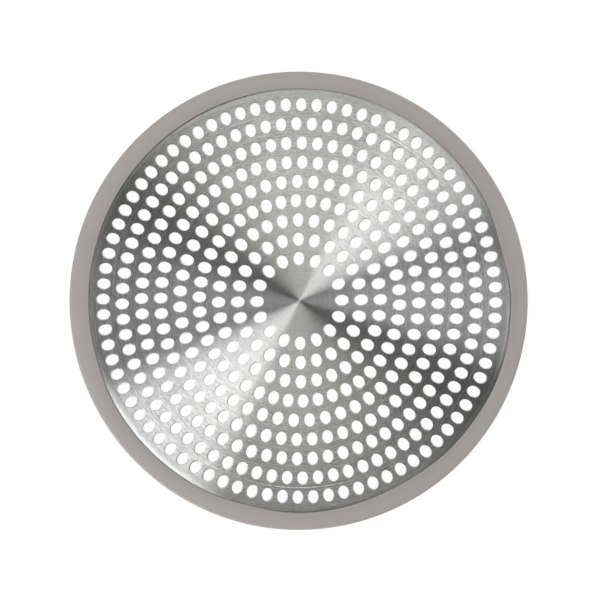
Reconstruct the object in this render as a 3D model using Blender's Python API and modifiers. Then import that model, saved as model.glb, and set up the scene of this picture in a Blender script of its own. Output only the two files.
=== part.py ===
# Round cover for a flat shower drain.
# A domed, perforated stainless steel disc is held in the groove of a moulded silicone rim.
# The rim stands on the shower floor and lifts the disc clear of the drain's own grate.
# Z is up, and the origin is on the floor at the centre of the cover.

import math

import bmesh
import bpy
from mathutils import Matrix

MM = 0.001

# Sizes of the whole cover
COVER_DIAMETER = 146.0 * MM
RIM_FACE_WIDTH = 5.6 * MM  # the silicone seen from above
FIT_GAP = 0.3 * MM  # between the disc and the groove that holds it

# Sizes of the disc
SHEET_THICKNESS = 0.8 * MM
DOME_RISE = 2.6 * MM  # from the bend near the edge up to the centre
EDGE_BAND_WIDTH = 1.8 * MM  # steel turned down beside the rim, as seen from above
EDGE_TURN = math.radians(22.0)
GRIP_DEPTH = 2.6 * MM  # how far the disc reaches into the rim
PLAIN_CENTRE_RADIUS = 11.4 * MM
EDGE_MARGIN = 0.9 * MM  # from the last ring of holes to the bend
RING_SPACING = 6.1 * MM  # between rings, before they are spread to fill the disc
HOLE_LENGTH = 4.2 * MM  # along the radius
HOLE_WIDTH = 3.4 * MM

# The rings of holes, from the centre outwards: how many, and where the first one lies
RING_HOLE_COUNTS = (16, 24, 32, 42, 47, 56, 64, 72, 80)
RING_START_DEGREES = (0.9, 0.95, 0.95, -2.25, -0.9, -1.15, -0.85, 1.0, -0.5)
HOLES_ADDED_PER_RING = 8  # where a larger disc takes a further ring

# Sizes of the rim
UNDERLAY_THICKNESS = 2.45 * MM  # silicone below the disc's outer edge
LIP_THICKNESS = 0.5 * MM  # silicone over the steel at the lip's inner edge
FACE_FALL = 0.9 * MM  # drop of the rim's face from the lip to the outer corner
CORNER_RADIUS = 1.2 * MM
LIP_CHAMFER = 0.25 * MM
FOOT_CHAMFER = 0.4 * MM

# How the disc is cut and shaded
PUNCH_OVERRUN = 1.5 * MM  # past each face of the sheet
FLAT_ANGLE = math.radians(1)
SHARP_ANGLE = math.radians(30)

# How finely round shapes are divided
HOLE_SIDES = 6
DISC_SIDES = 48
RIM_STEPS = 96
CORNER_STEPS = 4
MERGE_DISTANCE = 0.01 * MM

# Radii that follow from the sizes above
COVER_RADIUS = COVER_DIAMETER / 2
LIP_RADIUS = COVER_RADIUS - RIM_FACE_WIDTH
DISC_RADIUS = LIP_RADIUS + GRIP_DEPTH
BEND_RADIUS = LIP_RADIUS - EDGE_BAND_WIDTH
FIRST_RING_RADIUS = PLAIN_CENTRE_RADIUS + HOLE_LENGTH / 2
LAST_RING_RADIUS = BEND_RADIUS - EDGE_MARGIN - HOLE_LENGTH / 2

# Heights that follow, worked up from the floor
TURN_SLOPE = math.tan(EDGE_TURN)
SLANT = 1 / math.cos(EDGE_TURN)  # upright height for each unit square to the turned edge
DISC_EDGE_TOP = UNDERLAY_THICKNESS + (FIT_GAP + SHEET_THICKNESS) * SLANT
BEND_TOP = DISC_EDGE_TOP + (DISC_RADIUS - BEND_RADIUS) * TURN_SLOPE


def turned_edge_top(radius):
    """Height of the steel's top face along the straight, turned-down edge."""
    return BEND_TOP - (radius - BEND_RADIUS) * TURN_SLOPE


def disc_top(radius):
    """Height of the steel's top face: a shallow dome, then the turned-down edge."""
    if radius > BEND_RADIUS:
        return turned_edge_top(radius)
    return BEND_TOP + DOME_RISE * (1 - (radius / BEND_RADIUS) ** 2)


def sheet_depth(radius):
    """Upright thickness of the sheet, which grows along the sloping edge."""
    share = max(0, (radius - BEND_RADIUS) / (DISC_RADIUS - BEND_RADIUS))
    return SHEET_THICKNESS * (1 + share * (SLANT - 1))


def groove_floor(radius):
    """Height of the rim's ledge, the fit gap below the steel."""
    return turned_edge_top(radius) - (SHEET_THICKNESS + FIT_GAP) * SLANT


def groove_roof(radius):
    """Height of the underside of the rim's lip, the fit gap above the steel."""
    return turned_edge_top(radius) + FIT_GAP * SLANT


def clear_scene():
    for old in list(bpy.data.objects):
        bpy.data.objects.remove(old, do_unlink=True)


def new_collection(name):
    collection = bpy.data.collections.new(name)
    bpy.context.scene.collection.children.link(collection)
    return collection


def new_material(name, colour, metallic, roughness):
    material = bpy.data.materials.new(name)
    material.use_nodes = True
    shader = material.node_tree.nodes["Principled BSDF"]
    shader.inputs["Base Color"].default_value = (*colour, 1.0)
    shader.inputs["Metallic"].default_value = metallic
    shader.inputs["Roughness"].default_value = roughness
    return material


def holes_in_ring(ring):
    """How many holes a ring has, counted from 0 at the innermost ring."""
    further = max(0, ring + 1 - len(RING_HOLE_COUNTS))
    return RING_HOLE_COUNTS[ring - further] + further * HOLES_ADDED_PER_RING


def hole_places():
    """The radius and the angle of every hole, ring by ring, spread to fill the disc."""
    steps = round((LAST_RING_RADIUS - FIRST_RING_RADIUS) / RING_SPACING)
    for ring in range(steps + 1):
        radius = FIRST_RING_RADIUS + ring * (LAST_RING_RADIUS - FIRST_RING_RADIUS) / steps
        start = math.radians(RING_START_DEGREES[ring % len(RING_START_DEGREES)])
        count = holes_in_ring(ring)
        for i in range(count):
            yield radius, start + 2 * math.pi * i / count


def add_punches(collection):
    """One cutter for all the holes: six-sided prisms of the oval holes' own area."""
    corner_turn = 2 * math.pi / HOLE_SIDES
    swell = math.sqrt(corner_turn / math.sin(corner_turn))
    corner_outwards = Matrix.Rotation(math.radians(90), 4, "Z")
    oval = Matrix.Diagonal((swell * HOLE_LENGTH / 2, swell * HOLE_WIDTH / 2, 1, 1))
    shape = bmesh.new()
    for radius, angle in hole_places():
        bmesh.ops.create_cone(
            shape,
            cap_ends=True,
            segments=HOLE_SIDES,
            radius1=1,
            radius2=1,
            depth=SHEET_THICKNESS + 2 * PUNCH_OVERRUN,
            matrix=Matrix.Rotation(angle, 4, "Z")
            @ Matrix.Translation((radius, 0, 0))
            @ oval
            @ corner_outwards,
        )
    mesh = bpy.data.meshes.new("hole_punches")
    shape.to_mesh(mesh)
    shape.free()
    punches = bpy.data.objects.new("hole_punches", mesh)
    collection.objects.link(punches)
    punches.hide_render = True
    punches.display_type = "WIRE"
    return punches


def flat_blank(collection):
    """The round steel blank, still flat and whole, with a circle of edges where it will bend."""
    shape = bmesh.new()
    bmesh.ops.create_cone(
        shape,
        cap_ends=True,
        segments=DISC_SIDES,
        radius1=DISC_RADIUS,
        radius2=DISC_RADIUS,
        depth=SHEET_THICKNESS,
    )
    shape.normal_update()
    caps = [face for face in shape.faces if abs(face.normal.z) > abs(face.normal.xy.length)]
    bmesh.ops.inset_individual(shape, faces=caps, thickness=DISC_RADIUS - BEND_RADIUS)
    mesh = bpy.data.meshes.new("perforated_disc")
    shape.to_mesh(mesh)
    shape.free()
    blank = bpy.data.objects.new("perforated_disc", mesh)
    collection.objects.link(blank)
    return blank


def punched_mesh(blank, punches):
    """The blank's mesh once the holes are cut through it."""
    cut = blank.modifiers.new("holes", "BOOLEAN")
    cut.object = punches
    cut.operation = "DIFFERENCE"
    bpy.context.view_layer.update()
    graph = bpy.context.evaluated_depsgraph_get()
    mesh = bpy.data.meshes.new_from_object(blank.evaluated_get(graph))
    blank.modifiers.clear()
    return mesh


def add_centre_points(shape):
    """Gives each plain centre a middle point, so that the dome reaches its full height."""
    for side in (1, -1):
        plain = [
            face
            for face in shape.faces
            if face.normal.z * side > 0
            and all(spot.co.xy.length < PLAIN_CENTRE_RADIUS for spot in face.verts)
        ]
        whole = bmesh.ops.dissolve_faces(shape, faces=plain)["region"]
        bmesh.ops.poke(shape, faces=whole)


def add_perforated_disc(collection, cutters, steel):
    """The steel disc: punched flat, then pressed to a dome with its edge turned down."""
    disc = flat_blank(collection)
    disc.data = punched_mesh(disc, add_punches(cutters))
    shape = bmesh.new()
    shape.from_mesh(disc.data)
    bmesh.ops.triangulate(shape, faces=shape.faces)
    flat = [edge for edge in shape.edges if edge.is_manifold and edge.calc_face_angle() < FLAT_ANGLE]
    bmesh.ops.beautify_fill(shape, faces=shape.faces, edges=flat)
    add_centre_points(shape)
    for spot in shape.verts:
        radius = spot.co.xy.length
        depth = 0 if spot.co.z > 0 else sheet_depth(radius)
        spot.co.z = disc_top(radius) - depth
    shape.to_mesh(disc.data)
    shape.free()
    disc.data.materials.append(steel)
    disc.data.shade_smooth()
    disc.data.set_sharp_from_angle(angle=SHARP_ANGLE)


def corner_points():
    """The rim's rounded outer corner, from its face down to its outer wall."""
    centre_radius = COVER_RADIUS - CORNER_RADIUS
    centre_height = groove_roof(LIP_RADIUS) + LIP_THICKNESS - FACE_FALL - CORNER_RADIUS
    points = []
    for i in range(CORNER_STEPS + 1):
        turn = math.radians(90) * (1 - i / CORNER_STEPS)
        points.append(
            (
                centre_radius + CORNER_RADIUS * math.cos(turn),
                centre_height + CORNER_RADIUS * math.sin(turn),
            )
        )
    return points


def rim_profile():
    """The rim's section at +X, as radius and height, running down its outer side."""
    lip_top = groove_roof(LIP_RADIUS) + LIP_THICKNESS
    groove_radius = DISC_RADIUS + FIT_GAP
    return [
        (LIP_RADIUS, lip_top - LIP_CHAMFER),
        (LIP_RADIUS + LIP_CHAMFER, lip_top),
        *corner_points(),
        (COVER_RADIUS, FOOT_CHAMFER),
        (COVER_RADIUS - FOOT_CHAMFER, 0),
        (BEND_RADIUS + FOOT_CHAMFER, 0),
        (BEND_RADIUS, FOOT_CHAMFER),
        (BEND_RADIUS, groove_floor(BEND_RADIUS)),
        (groove_radius, groove_floor(groove_radius)),
        (groove_radius, groove_roof(groove_radius)),
        (LIP_RADIUS, groove_roof(LIP_RADIUS)),
    ]


def add_silicone_rim(collection, silicone):
    """The moulded rim: one section turned about the cover's axis."""
    mesh = bpy.data.meshes.new("silicone_rim")
    shape = bmesh.new()
    spots = [shape.verts.new((radius, 0, height)) for radius, height in rim_profile()]
    for i, spot in enumerate(spots):
        shape.edges.new((spots[i - 1], spot))
    shape.to_mesh(mesh)
    shape.free()
    rim = bpy.data.objects.new("silicone_rim", mesh)
    collection.objects.link(rim)
    turn = rim.modifiers.new("turned", "SCREW")
    turn.axis = "Z"
    turn.angle = 2 * math.pi
    turn.steps = RIM_STEPS
    turn.render_steps = RIM_STEPS
    turn.use_merge_vertices = True
    turn.merge_threshold = MERGE_DISTANCE
    mesh.materials.append(silicone)


clear_scene()
cover = new_collection("shower_drain_cover")
brushed_steel = new_material("brushed_steel", (0.60, 0.60, 0.59), 1.0, 0.35)
warm_grey_silicone = new_material("warm_grey_silicone", (0.37, 0.34, 0.32), 0.0, 0.6)
add_perforated_disc(cover, new_collection("cutters"), brushed_steel)
add_silicone_rim(cover, warm_grey_silicone)
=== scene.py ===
import math

import bmesh
import bpy
from mathutils import Matrix, Vector


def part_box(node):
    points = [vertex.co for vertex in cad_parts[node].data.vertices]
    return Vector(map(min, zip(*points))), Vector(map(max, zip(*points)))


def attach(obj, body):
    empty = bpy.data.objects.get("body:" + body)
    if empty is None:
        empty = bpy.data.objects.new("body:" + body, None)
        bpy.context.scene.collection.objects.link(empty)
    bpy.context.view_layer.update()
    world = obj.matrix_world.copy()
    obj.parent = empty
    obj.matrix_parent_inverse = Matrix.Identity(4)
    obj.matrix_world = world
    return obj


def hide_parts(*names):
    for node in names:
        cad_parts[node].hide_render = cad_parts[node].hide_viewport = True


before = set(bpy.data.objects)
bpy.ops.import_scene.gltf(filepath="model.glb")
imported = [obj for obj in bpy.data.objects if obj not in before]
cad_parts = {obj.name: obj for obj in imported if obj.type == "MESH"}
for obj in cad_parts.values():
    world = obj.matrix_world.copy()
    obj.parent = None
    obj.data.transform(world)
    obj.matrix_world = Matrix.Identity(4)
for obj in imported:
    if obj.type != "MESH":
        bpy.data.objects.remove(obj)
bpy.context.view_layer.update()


# Perforated disc
# One round sheet of stainless steel with 433 oval holes punched through it from above, in nine
# rings. It is pressed to a shallow dome with its edge rolled over, and brushed while it spins,
# which leaves a fine grain round the centre. The rolled edge sits in the groove of the rim.
MM = 0.001
_, disc_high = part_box("perforated_disc")
room_to_shift = 0.4 * MM  # taken off the sheet's edge, so that the disc can sit to one side
disc_radius = disc_high.x - room_to_shift
off_centre = 0.27 * MM  # the disc sits a little to one side in the soft rim's groove
crown_height = disc_high.z
sheet_thickness = 0.8 * MM
bend_radius = 65.6 * MM
dome_rise = 2.6 * MM  # from the bend up to the crown
roll_start = 65.9 * MM
roll_width = 1.9 * MM
turned_slope = math.tan(math.radians(35))
sharp_angle = math.radians(60)

hole_length = 4.23 * MM  # along the radius
hole_width = 3.24 * MM
hole_sides = 16
ring_hole_counts = (16, 24, 32, 42, 47, 56, 64, 72, 80)
ring_start_degrees = (0.9, 0.95, 0.95, -2.25, -0.9, -1.15, -0.85, 1.0, -0.5)
first_ring_radius = 13.46 * MM
ring_spacing = 6.125 * MM
tile_reach = 2.65 * MM  # from the middle of a ring to the edge of its tiles
match_distance = 0.02 * MM  # an edge this near a circle belongs to it
merge_distance = 0.1 * match_distance  # points this near each other become one
# Circles of points on the plain centre and over the rolled edge, by radius in millimetres
centre_steps = (7.5, 4, 1.5, 0)
edge_steps = (65.6, 66.0, 66.3, 66.6, 66.9, 67.2, 67.5, 67.8, 68.6)
# The steel round a hole, from its flat land over the rounded upper edge and down the punched
# wall: how far outside the hole, how far below the top face, and which finish leads up to there
brushed, punched = 0, 1
hole_loops = (
    (0.4 * MM, 0, brushed),
    (0.18 * MM, 0, brushed),
    (0.06 * MM, 0.045 * MM, brushed),
    (0, 0.16 * MM, punched),
    (0, sheet_thickness, punched),
)


def open_edges(sheet, radius, depth):
    """The sheet's open edges at one radius, on the face at one depth."""
    return [
        edge
        for edge in sheet.edges
        if edge.is_boundary
        and all(
            abs(spot.co.xy.length - radius) < match_distance
            and abs(spot.co.z + depth) < match_distance
            for spot in edge.verts
        )
    ]


def extruded(sheet, edges):
    """Extrudes a loop of open edges, and returns the new points, open edges and faces."""
    made = bmesh.ops.extrude_edge_only(sheet, edges=edges)["geom"]
    spots = [part for part in made if isinstance(part, bmesh.types.BMVert)]
    faces = [part for part in made if isinstance(part, bmesh.types.BMFace)]
    edges = [part for part in made if isinstance(part, bmesh.types.BMEdge) and part.is_boundary]
    return spots, edges, faces


def punch_hole_tile(sheet, radius, count):
    """One hole with the steel around it, as a tile that fills its share of the ring."""
    spots = bmesh.ops.create_circle(sheet, segments=hole_sides, radius=1)["verts"]
    edges = list({edge for spot in spots for edge in spot.link_edges})
    loops = [spots]
    for finish in (*(loop[2] for loop in hole_loops), brushed):
        spots, edges, faces = extruded(sheet, edges)
        loops.append(spots)
        for face in faces:
            face.material_index = finish
    for loop, (land, depth, _) in zip(loops[1:-1], hole_loops):
        for spot in loop:
            across, along = spot.co.x, spot.co.y
            spot.co = (
                radius + across * (hole_length / 2 + land),
                along * (hole_width / 2 + land),
                -depth,
            )
    for loop, depth in ((loops[0], 0), (loops[-1], sheet_thickness)):
        for spot in loop:
            longest = max(abs(spot.co.x), abs(spot.co.y))
            reach = radius + tile_reach * spot.co.x / longest
            turn = math.pi / count * spot.co.y / longest
            spot.co = (reach * math.cos(turn), reach * math.sin(turn), -depth)
    return [spot for loop in loops for spot in loop]


def punch_ring(sheet, radius, count, start):
    """A ring of holes: one tile, turned about the centre."""
    spots = punch_hole_tile(sheet, radius, count)
    bmesh.ops.rotate(sheet, verts=spots, cent=(0, 0, 0), matrix=Matrix.Rotation(start, 3, "Z"))
    edges = list({edge for spot in spots for edge in spot.link_edges})
    faces = list({face for spot in spots for face in spot.link_faces})
    bmesh.ops.spin(
        sheet,
        geom=[*spots, *edges, *faces],
        cent=(0, 0, 0),
        axis=(0, 0, 1),
        angle=2 * math.pi * (count - 1) / count,
        steps=count - 1,
        use_duplicate=True,
    )


def widen_sheet(sheet, edges, radius, steps):
    """Carries the sheet on from a circle of open edges, through each radius in turn."""
    for next_radius in steps:
        spots, edges, _ = extruded(sheet, edges)
        share = next_radius / radius
        bmesh.ops.scale(sheet, verts=spots, vec=(share, share, 1))
        radius = next_radius or radius


def steel_top(radius):
    """The height and the slope of the pressed sheet's top face at a radius."""
    end_slope = 2 * dome_rise * roll_start / bend_radius**2
    domed = min(radius, roll_start)
    rolled = min(max(radius - roll_start, 0), roll_width)
    straight = max(radius - roll_start - roll_width, 0)
    added_slope = (turned_slope - end_slope) * rolled / roll_width
    slope = 2 * dome_rise * domed / bend_radius**2 + added_slope
    fall = dome_rise * (domed / bend_radius) ** 2
    fall += (end_slope + added_slope / 2) * rolled + turned_slope * straight
    return crown_height - fall, slope


def press_sheet(sheet):
    """Presses the flat sheet to a dome that rolls over at its edge, at an even thickness."""
    for spot in sheet.verts:
        radius, depth = spot.co.xy.length, -spot.co.z
        height, slope = steel_top(radius)
        tilt = math.atan(slope)
        if radius > 0:
            spot.co.xy *= (radius - depth * math.sin(tilt)) / radius
        spot.co.z = height - depth * math.cos(tilt)


def finished_object(name, shape):
    """Makes a finished shape a smooth object of its own, at the origin."""
    for face in shape.faces:
        face.smooth = True
    mesh = bpy.data.meshes.new(name)
    shape.to_mesh(mesh)
    shape.free()
    piece = bpy.data.objects.new(name, mesh)
    bpy.context.scene.collection.objects.link(piece)
    return piece


sheet = bmesh.new()
ring_radii = [first_ring_radius + ring * ring_spacing for ring in range(len(ring_hole_counts))]
for radius, count, start in zip(ring_radii, ring_hole_counts, ring_start_degrees):
    punch_ring(sheet, radius, count, math.radians(start))
bmesh.ops.remove_doubles(sheet, verts=sheet.verts, dist=merge_distance)
inmost = ring_radii[0] - tile_reach
outmost = ring_radii[-1] + tile_reach
inwards = [step * MM for step in centre_steps]
outwards = [*(step * MM for step in edge_steps), disc_radius]
for depth in (0, sheet_thickness):
    for inner, outer in zip(ring_radii, ring_radii[1:]):
        facing = [
            *open_edges(sheet, inner + tile_reach, depth),
            *open_edges(sheet, outer - tile_reach, depth),
        ]
        bmesh.ops.bridge_loops(sheet, edges=facing)
    widen_sheet(sheet, open_edges(sheet, inmost, depth), inmost, inwards)
    widen_sheet(sheet, open_edges(sheet, outmost, depth), outmost, outwards)
bmesh.ops.bridge_loops(
    sheet,
    edges=[*open_edges(sheet, disc_radius, 0), *open_edges(sheet, disc_radius, sheet_thickness)],
)
bmesh.ops.remove_doubles(sheet, verts=sheet.verts, dist=merge_distance)
press_sheet(sheet)
bmesh.ops.translate(sheet, verts=sheet.verts, vec=(off_centre, 0, 0))
bmesh.ops.recalc_face_normals(sheet, faces=sheet.faces)
for edge in sheet.edges:
    edge.smooth = edge.calc_face_angle(0) < sharp_angle
disc = finished_object("perforated_disc_sheet", sheet)


def add_node(finish, kind, inputs=(), **settings):
    """Adds a node to a finish, with its settings, and its inputs as values or links."""
    node = finish.node_tree.nodes.new(kind)
    for name, value in settings.items():
        setattr(node, name, value)
    for socket, value in dict(inputs).items():
        if isinstance(value, bpy.types.NodeSocket):
            finish.node_tree.links.new(value, node.inputs[socket])
        else:
            node.inputs[socket].default_value = value
    return node


def new_finish(name):
    """An empty node material."""
    finish = bpy.data.materials.new(name)
    finish.use_nodes = True
    finish.node_tree.nodes.clear()
    return finish


def surface_of(finish, shader):
    """Makes a shader the surface of its finish."""
    add_node(finish, "ShaderNodeOutputMaterial", {"Surface": shader})


steel = new_finish("spun_brushed_steel")
place = add_node(steel, "ShaderNodeTexCoord").outputs["Object"]
flat_place = add_node(
    steel,
    "ShaderNodeVectorMath",
    {0: place, 1: (1, 1, 0), 2: (-off_centre, 0, 0)},
    operation="MULTIPLY_ADD",
).outputs["Vector"]
# The grain runs round the centre, so light spreads along the spokes, across the grain
spoke = add_node(
    steel, "ShaderNodeVectorMath", {0: flat_place}, operation="NORMALIZE"
).outputs["Vector"]
out_along_spoke = add_node(
    steel, "ShaderNodeVectorMath", {0: flat_place}, operation="LENGTH"
).outputs["Value"]


def grain_noise(line_width, lines_per_radian, detail):
    """Noise drawn out round the centre, with lines of one width."""
    across = add_node(
        steel, "ShaderNodeMath", {0: out_along_spoke, 1: line_width}, operation="DIVIDE"
    ).outputs[0]
    upright = add_node(steel, "ShaderNodeCombineXYZ", {"Z": across}).outputs[0]
    spot = add_node(
        steel,
        "ShaderNodeVectorMath",
        {0: spoke, 1: (lines_per_radian,) * 3, 2: upright},
        operation="MULTIPLY_ADD",
    ).outputs["Vector"]
    return add_node(
        steel, "ShaderNodeTexNoise", {"Vector": spot, "Scale": 1.0, "Detail": detail}
    ).outputs["Fac"]


def steel_range(value, low, high, at_low, at_high):
    """One value of the steel drawn out from its own range to another."""
    return add_node(
        steel,
        "ShaderNodeMapRange",
        {"Value": value, "From Min": low, "From Max": high, "To Min": at_low, "To Max": at_high},
    ).outputs["Result"]


def steel_math(operation, first, second):
    """Two values of the steel taken together by one operation."""
    return add_node(steel, "ShaderNodeMath", {0: first, 1: second}, operation=operation).outputs[0]


noise_span = (0.3, 0.7)  # nearly all of a noise's values lie between these
arc_span = (0.62, 0.74)  # only its highest values make an arc
steel_tone = (0.523, 0.573)  # the steel's own brightness, from one broad line to another
plain_radius = 9 * MM  # the bare middle, inside the first ring of holes
fine_grain = grain_noise(line_width=0.33 * MM, lines_per_radian=12, detail=3)
flecks = grain_noise(line_width=0.38 * MM, lines_per_radian=42, detail=2)
broad_grain = grain_noise(line_width=0.8 * MM, lines_per_radian=1.5, detail=2)
tool_arcs = grain_noise(line_width=0.45 * MM, lines_per_radian=2.2, detail=1)
# The grain is faint on the plain middle and on the rolled edge, and stronger among the holes
grain = steel_math(
    "ADD",
    steel_range(fine_grain, *noise_span, -0.5, 0.5),
    steel_range(flecks, *noise_span, -0.5, 0.5),
)
grain_strength = steel_math(
    "MULTIPLY",
    steel_range(out_along_spoke, plain_radius, 55 * MM, 0.16, 0.46),
    steel_range(out_along_spoke, 61 * MM, 65 * MM, 1.0, 0.6),
)
bright = steel_math("ADD", steel_math("MULTIPLY", grain, grain_strength), 1.0)
bright = steel_math("MULTIPLY", bright, steel_range(broad_grain, *noise_span, *steel_tone))
# The tool leaves faint bright arcs too, fainter still on the plain middle
arc_strength = steel_range(out_along_spoke, plain_radius, 16 * MM, 0.04, 0.25)
arcs = steel_math("MULTIPLY", steel_range(tool_arcs, *arc_span, 0.0, 1.0), arc_strength)
bright = steel_math("MULTIPLY", bright, steel_math("ADD", arcs, 1.0))
# One deeper line was left by the tool between the two outer rings of holes. Its bright line and
# darker flanks are painted into the steel's colour: a painted highlight, strongest at the front of
# the cover, and a little of the line in places elsewhere
score_radius = ring_radii[-1] - ring_spacing / 2
score_compass = math.radians(269)
off_score = steel_math("ABSOLUTE", steel_math("SUBTRACT", out_along_spoke, score_radius), 0)
score_line = steel_math(
    "SUBTRACT",
    steel_range(off_score, 0.1 * MM, 0.28 * MM, 1.0, 0.0),
    steel_range(off_score, 0.35 * MM, 0.7 * MM, 0.25, 0.0),
)
along_score = add_node(
    steel,
    "ShaderNodeVectorMath",
    {0: spoke, 1: (math.cos(score_compass), math.sin(score_compass), 0)},
    operation="DOT_PRODUCT",
).outputs["Value"]
# Painted highlight: the line is strongest where it faces the front of the cover
painted_highlight_at_front = steel_range(along_score, 0.94, 0.998, 0.0, 1.1)
score_breaks = grain_noise(line_width=3 * MM, lines_per_radian=5, detail=1)
score_strength = steel_math(
    "ADD", painted_highlight_at_front, steel_range(score_breaks, 0.5, 0.65, 0.05, 0.45)
)
score = steel_math("MULTIPLY", score_line, score_strength)
bright = steel_math("MULTIPLY", bright, steel_math("ADD", score, 1.0))
# The brush leaves the sheet a little brighter halfway out, and duller in the outer rings: the
# tones by radius in millimetres. A curve's values end at 1, so they go on it at half their size
tone_scale = 2.0
brushed_tones = (
    (0, 1.0),
    (9.6, 1.01),
    (17, 1.062),
    (23, 1.085),
    (29, 1.065),
    (35, 1.08),
    (41.4, 1.045),
    (47.6, 0.965),
    (53.7, 0.905),
    (60.7, 0.885),
    (63.4, 0.872),
    (64.9, 0.815),
    (65.8, 0.82),
    (66.8, 0.87),
    (67.8, 0.86),
)
share_out = steel_math("DIVIDE", out_along_spoke, disc_radius)
tone = add_node(steel, "ShaderNodeFloatCurve", {"Value": share_out})
tone_curve = tone.mapping.curves[0]
tone_curve.points[0].location = (0, brushed_tones[0][1] / tone_scale)
tone_curve.points[1].location = (1, brushed_tones[-1][1] / tone_scale)
for radius, level in brushed_tones[1:]:
    tone_curve.points.new(radius * MM / disc_radius, level / tone_scale)
tone.mapping.update()
bright = steel_math("MULTIPLY", bright, tone.outputs["Value"])
bright = steel_math("MULTIPLY", bright, tone_scale)
steel_colour = add_node(
    steel, "ShaderNodeCombineColor", {"Red": bright, "Green": bright, "Blue": bright}
).outputs["Color"]
# The rolled edge comes out of the press a little rougher
steel_roughness = steel_math(
    "ADD",
    steel_range(fine_grain, *noise_span, 0.335, 0.375),
    steel_range(out_along_spoke, bend_radius, 66.8 * MM, 0.0, 0.05),
)
grain_relief = add_node(
    steel, "ShaderNodeBump", {"Strength": 0.3, "Distance": 0.01 * MM, "Height": fine_grain}
).outputs["Normal"]
surface_of(
    steel,
    add_node(
        steel,
        "ShaderNodeBsdfPrincipled",
        {
            "Base Color": steel_colour,
            "Metallic": 1.0,
            "Roughness": steel_roughness,
            "Anisotropic": 1.0,
            "Tangent": spoke,
            "Normal": grain_relief,
        },
    ).outputs["BSDF"],
)

# The punch leaves fine shear marks that run down the wall of each hole
punched_steel = new_finish("punched_steel_wall")
mark_scale = (6000, 6000, 500)  # finer across a mark than along it
place = add_node(punched_steel, "ShaderNodeTexCoord").outputs["Object"]
drawn_down = add_node(
    punched_steel, "ShaderNodeVectorMath", {0: place, 1: mark_scale}, operation="MULTIPLY"
).outputs["Vector"]
shear_marks = add_node(
    punched_steel, "ShaderNodeTexNoise", {"Vector": drawn_down, "Scale": 1.0, "Detail": 2.0}
).outputs["Fac"]
wall_colour = add_node(
    punched_steel,
    "ShaderNodeMix",
    {"Factor": shear_marks, "A": (0.38, 0.38, 0.37, 1), "B": (0.54, 0.54, 0.53, 1)},
    data_type="RGBA",
)
surface_of(
    punched_steel,
    add_node(
        punched_steel,
        "ShaderNodeBsdfPrincipled",
        {
            "Base Color": wall_colour.outputs["Result"],
            "Metallic": 1.0,
            "Roughness": 0.38,
        },
    ).outputs["BSDF"],
)
disc.data.materials.append(steel)
disc.data.materials.append(punched_steel)
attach(disc, "root")
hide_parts("perforated_disc")


# Silicone rim
# One moulded ring of soft warm grey silicone. Its thin lip closes over the disc's rolled edge,
# its face falls a little to a rounded outer corner, and its flat foot lies on the shower floor.
_, rim_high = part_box("silicone_rim")
cover_radius = rim_high.x
lip_top = rim_high.z
lip_edge = 67.4 * MM
lip_root = 70.0 * MM
foot_edge = 65.6 * MM
groove_end = 70.15 * MM
rim_steps = 192
corner_steps = 5
# The section's corners, as radius, height and rounding
rim_corners = (
    (lip_edge, 4.94 * MM, 0.06 * MM),  # the lip's thin edge over the steel
    (lip_edge, 5.24 * MM, 0.2 * MM),
    (68.9 * MM, lip_top - 0.1 * MM, 1.3 * MM),  # its crest, and the start of the face
    (70.6 * MM, 5.22 * MM, 1.6 * MM),
    (cover_radius, 4.84 * MM, 1.0 * MM),  # the outer wall
    (cover_radius, 0, 0.4 * MM),
    (foot_edge, 0, 0.4 * MM),  # the inner wall, under the steel
    (foot_edge, 4.52 * MM, 0.15 * MM),
    (groove_end, 2.0 * MM, 0.1 * MM),  # the end of the groove
    (groove_end, 3.45 * MM, 0.1 * MM),
)
between_foot_and_lip = 4.6 * MM  # inside the lip's root, only the lip is higher than this
section = bmesh.new()
spots = [section.verts.new((radius, 0, height)) for radius, height, _ in rim_corners]
for spot, last in zip(spots, [spots[-1], *spots[:-1]]):
    section.edges.new((last, spot))
for spot, (_, _, rounding) in zip(spots, rim_corners):
    bmesh.ops.bevel(
        section,
        geom=[spot],
        offset=rounding,
        offset_type="OFFSET",
        segments=corner_steps,
        profile=0.5,
        affect="VERTICES",
        material=-1,
    )
bmesh.ops.spin(
    section,
    geom=[*section.verts, *section.edges],
    cent=(0, 0, 0),
    axis=(0, 0, 1),
    angle=2 * math.pi,
    steps=rim_steps,
    use_merge=True,
)
# The soft lip doesn't close on the steel along an exact circle. By compass: how far it stands
# off its circle, and how far it stands up off the steel, both in millimetres
lip_wander = (
    (0, 0.12, 0.2),
    (15, -0.9, 0.0),
    (30, 0.0, 0.22),
    (47, -0.1, 0.38),
    (60, -0.16, 0.02),
    (78, 0.16, 0.0),
    (92, 0.12, 0.0),
    (106, -0.1, 0.24),
    (120, -0.25, 0.2),
    (150, -0.4, 0.0),
    (167, -0.6, 0.0),
    (196, -0.6, 0.0),
    (210, -0.15, 0.0),
    (225, -0.12, 0.0),
    (243, 0.05, 0.05),
    (256, -0.42, 0.0),
    (270, 0.05, 0.25),
    (300, -0.6, 0.0),
    (318, 0.0, 0.1),
    (340, 0.55, 0.15),
    (360, 0.12, 0.2),
)


def wander_at(compass):
    """The lip's distances from its circle and from the steel, eased from place to place."""
    for (start, *here), (end, *there) in zip(lip_wander, lip_wander[1:]):
        if start <= compass <= end:
            share = (compass - start) / (end - start)
            share *= share * (3 - 2 * share)
            return [MM * (low + (high - low) * share) for low, high in zip(here, there)]


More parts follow.
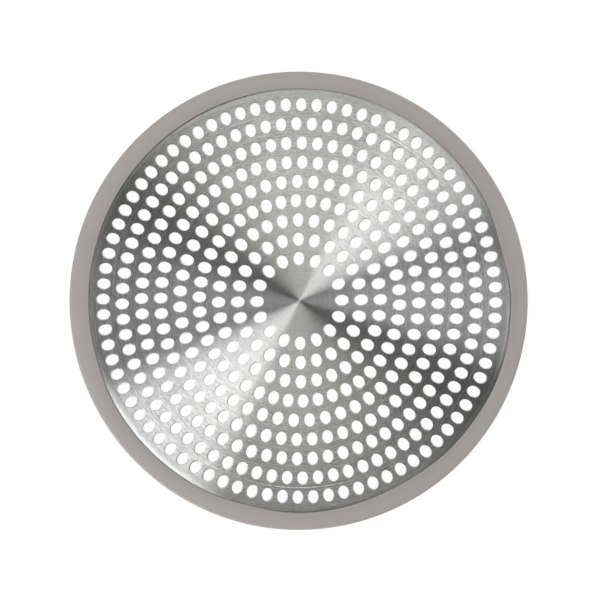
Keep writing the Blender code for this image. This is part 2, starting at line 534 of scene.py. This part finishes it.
disc_centre = Vector((off_centre, 0))
for spot in section.verts:
    radius = spot.co.xy.length
    if spot.co.z > between_foot_and_lip and radius < lip_root:
        compass = math.degrees(math.atan2(spot.co.y, spot.co.x)) % 360
        share = min((lip_root - radius) / (lip_root - lip_edge), 1)
        off_circle, off_steel = wander_at(compass)
        spot.co.xy *= (radius + off_circle * share) / radius
        steel_radius = (spot.co.xy - disc_centre).length
        climb = steel_top(steel_radius)[0] - steel_top(radius)[0] + off_steel
        spot.co.z += climb * share
bmesh.ops.recalc_face_normals(section, faces=section.faces)
rim = finished_object("silicone_rim_ring", section)

silicone = new_finish("warm_grey_silicone")
place = add_node(silicone, "ShaderNodeTexCoord").outputs["Object"]
clouds = add_node(
    silicone, "ShaderNodeTexNoise", {"Vector": place, "Scale": 90.0, "Detail": 3.0}
).outputs["Fac"]
mould_grain = add_node(
    silicone, "ShaderNodeTexNoise", {"Vector": place, "Scale": 5000.0, "Detail": 2.0}
).outputs["Fac"]
silicone_colour = add_node(
    silicone,
    "ShaderNodeMix",
    {"Factor": clouds, "A": (0.342, 0.311, 0.307, 1), "B": (0.364, 0.347, 0.339, 1)},
    data_type="RGBA",
).outputs["Result"]
# Painted shade: the silicone's colour is darkened towards the lip's edge, by the steel, standing
# in for the shade there
painted_shade_width = 2.8 * MM
flat_place = add_node(
    silicone, "ShaderNodeVectorMath", {0: place, 1: (1, 1, 0)}, operation="MULTIPLY"
).outputs["Vector"]
out_from_centre = add_node(
    silicone, "ShaderNodeVectorMath", {0: flat_place}, operation="LENGTH"
).outputs["Value"]
painted_lip_shade = add_node(
    silicone,
    "ShaderNodeMapRange",
    {
        "Value": out_from_centre,
        "From Min": lip_edge,
        "From Max": lip_edge + painted_shade_width,
        "To Min": 0.92,
        "To Max": 1.0,
    },
).outputs["Result"]
# The painted shade by the lip darkens the silicone's colour
silicone_colour = add_node(
    silicone, "ShaderNodeVectorMath", {0: silicone_colour, "Scale": painted_lip_shade}, operation="SCALE"
).outputs["Vector"]
silicone_roughness = add_node(
    silicone,
    "ShaderNodeMapRange",
    {
        "Value": mould_grain,
        "From Min": noise_span[0],
        "From Max": noise_span[1],
        "To Min": 0.46,
        "To Max": 0.57,
    },
).outputs["Result"]
mould_relief = add_node(
    silicone, "ShaderNodeBump", {"Strength": 0.4, "Distance": 0.02 * MM, "Height": mould_grain}
).outputs["Normal"]
surface_of(
    silicone,
    add_node(
        silicone,
        "ShaderNodeBsdfPrincipled",
        {
            "Base Color": silicone_colour,
            "Roughness": silicone_roughness,
            "Specular IOR Level": 0.35,
            "Normal": mould_relief,
        },
    ).outputs["BSDF"],
)
rim.data.materials.append(silicone)
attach(rim, "root")
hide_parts("silicone_rim")


# Floor and backdrop
# A plain white studio floor that curves up into a low backdrop all round. It stands 0.1 mm below
# the rim's foot, and is seen from above only, so that a view from below shows the cover.
floor_radius = 2.1
cove_radius = 0.4
wall_height = 0.3
floor_gap = 0.1 * MM
floor_sides = 96
cove_steps = 8
backdrop = bmesh.new()
bmesh.ops.create_circle(backdrop, cap_ends=True, segments=floor_sides, radius=floor_radius)
edges = [edge for edge in backdrop.edges if edge.is_boundary]
for step in range(1, cove_steps + 1):
    turn = math.radians(90) * step / cove_steps
    spots, edges, _ = extruded(backdrop, edges)
    ring_radius = floor_radius + cove_radius * math.sin(turn)
    height = cove_radius * (1 - math.cos(turn))
    for spot in spots:
        spot.co = (*(spot.co.xy.normalized() * ring_radius), height)
spots, edges, _ = extruded(backdrop, edges)
bmesh.ops.translate(backdrop, verts=spots, vec=(0, 0, wall_height))
bmesh.ops.translate(backdrop, verts=backdrop.verts, vec=(0, 0, -floor_gap))
bmesh.ops.recalc_face_normals(backdrop, faces=backdrop.faces)
backdrop.faces.ensure_lookup_table()
if backdrop.faces[0].normal.z < 0:
    bmesh.ops.reverse_faces(backdrop, faces=backdrop.faces)
floor = finished_object("studio_floor", backdrop)

# The camera and the steel's reflections see a white floor, and other light meets pale paint
white_floor = new_finish("white_studio_floor")
floor_glow = 0.93
light_path = add_node(white_floor, "ShaderNodeLightPath").outputs
seen = add_node(
    white_floor,
    "ShaderNodeMath",
    {0: light_path["Is Camera Ray"], 1: light_path["Is Glossy Ray"]},
    operation="MAXIMUM",
).outputs[0]
seen = add_node(
    white_floor,
    "ShaderNodeMath",
    {0: seen, 1: light_path["Is Transmission Ray"]},
    operation="MAXIMUM",
).outputs[0]
own_light = add_node(
    white_floor, "ShaderNodeMath", {0: seen, 1: floor_glow}, operation="MULTIPLY"
).outputs[0]
paint = add_node(
    white_floor,
    "ShaderNodeMix",
    {"Factor": seen, "A": (0.8, 0.8, 0.8, 1), "B": (0.12, 0.12, 0.12, 1)},
    data_type="RGBA",
).outputs["Result"]
glow = add_node(
    white_floor, "ShaderNodeEmission", {"Color": (1, 1, 1, 1), "Strength": own_light}
).outputs[0]
matte = add_node(white_floor, "ShaderNodeBsdfDiffuse", {"Color": paint}).outputs[0]
lit = add_node(white_floor, "ShaderNodeAddShader", {0: glow, 1: matte}).outputs[0]
clear = add_node(white_floor, "ShaderNodeBsdfTransparent").outputs[0]
from_below = add_node(white_floor, "ShaderNodeNewGeometry").outputs["Backfacing"]
surface_of(
    white_floor,
    add_node(white_floor, "ShaderNodeMixShader", {0: from_below, 1: lit, 2: clear}).outputs[0],
)
floor.data.materials.append(white_floor)


# Studio light
# Soft boxes hang round the cover in a dark grey room, all facing it from the same distance. The
# spun-brushed steel shows each one as a bright sector on both sides of the centre.
box_distance = 1.2
neutral = (1, 1, 1)
warm = (0.99, 1, 0.94)
room_grey = 0.062


def hang_soft_box(name, compass, half_width, lowest, highest, brightness, colour):
    """A soft box that faces the cover, with its directions and half width given in degrees."""
    lamp = bpy.data.lights.new(name, "AREA")
    lamp.shape = "RECTANGLE"
    lamp.size = 2 * box_distance * math.tan(math.radians(half_width))
    lamp.size_y = 2 * box_distance * math.tan(math.radians(highest - lowest) / 2)
    lamp.energy = math.pi * lamp.size * lamp.size_y * brightness
    lamp.color = colour
    box = bpy.data.objects.new(name, lamp)
    turn = math.radians(compass)
    climb = math.radians(lowest + highest) / 2
    away = Vector(
        (math.cos(turn) * math.cos(climb), math.sin(turn) * math.cos(climb), math.sin(climb))
    )
    box.location = away * box_distance
    box.rotation_euler = away.to_track_quat("Z", "Y").to_euler()
    box.visible_camera = False
    bpy.context.scene.collection.objects.link(box)


# Each box's direction, half width, lowest and highest edge, brightness and colour
hang_soft_box("key_box_front_left", 224.7, 15.1, 3.0, 56.0, 5.0, neutral)
hang_soft_box("wide_box_back", 98.5, 37.0, 6.8, 56.4, 0.96, warm)
hang_soft_box("tall_box_back", 113.0, 11.0, 21.1, 75.5, 0.98, warm)
hang_soft_box("overhead_box", 67.0, 10.4, 64.5, 78.9, 3.38, warm)
hang_soft_box("broad_box_right", 35.2, 24.0, 6.0, 44.0, 0.85, neutral)
hang_soft_box("small_box_right", 357.6, 10.2, 34.3, 48.9, 5.1, neutral)
hang_soft_box("low_strip_right", 12.0, 33.0, 1.5, 8.0, 4.5, neutral)
hang_soft_box("strip_left", 179.9, 24.9, 26.2, 40.3, 1.97, neutral)
hang_soft_box("strip_front", 291.6, 33.9, 28.6, 40.6, 1.25, warm)

room = bpy.data.worlds.new("grey_room")
room.use_nodes = True
room_light = room.node_tree.nodes["Background"]
room_light.inputs["Color"].default_value = (room_grey, room_grey, room_grey, 1)
room_light.inputs["Strength"].default_value = 1.0
bpy.context.scene.world = room


# Camera
# It hangs straight above the cover, a little off its axis, as in the photograph.
camera_height = 959.5 * MM
camera_lens = bpy.data.cameras.new("camera")
camera_lens.lens = 180
camera_lens.sensor_width = 36
camera_lens.clip_start = 0.05
camera_lens.clip_end = 20
camera = bpy.data.objects.new("camera", camera_lens)
camera.location = (0.45 * MM, 0.25 * MM, camera_height)
bpy.context.scene.collection.objects.link(camera)
bpy.context.scene.camera = camera
bpy.context.scene.view_settings.view_transform = "Standard"
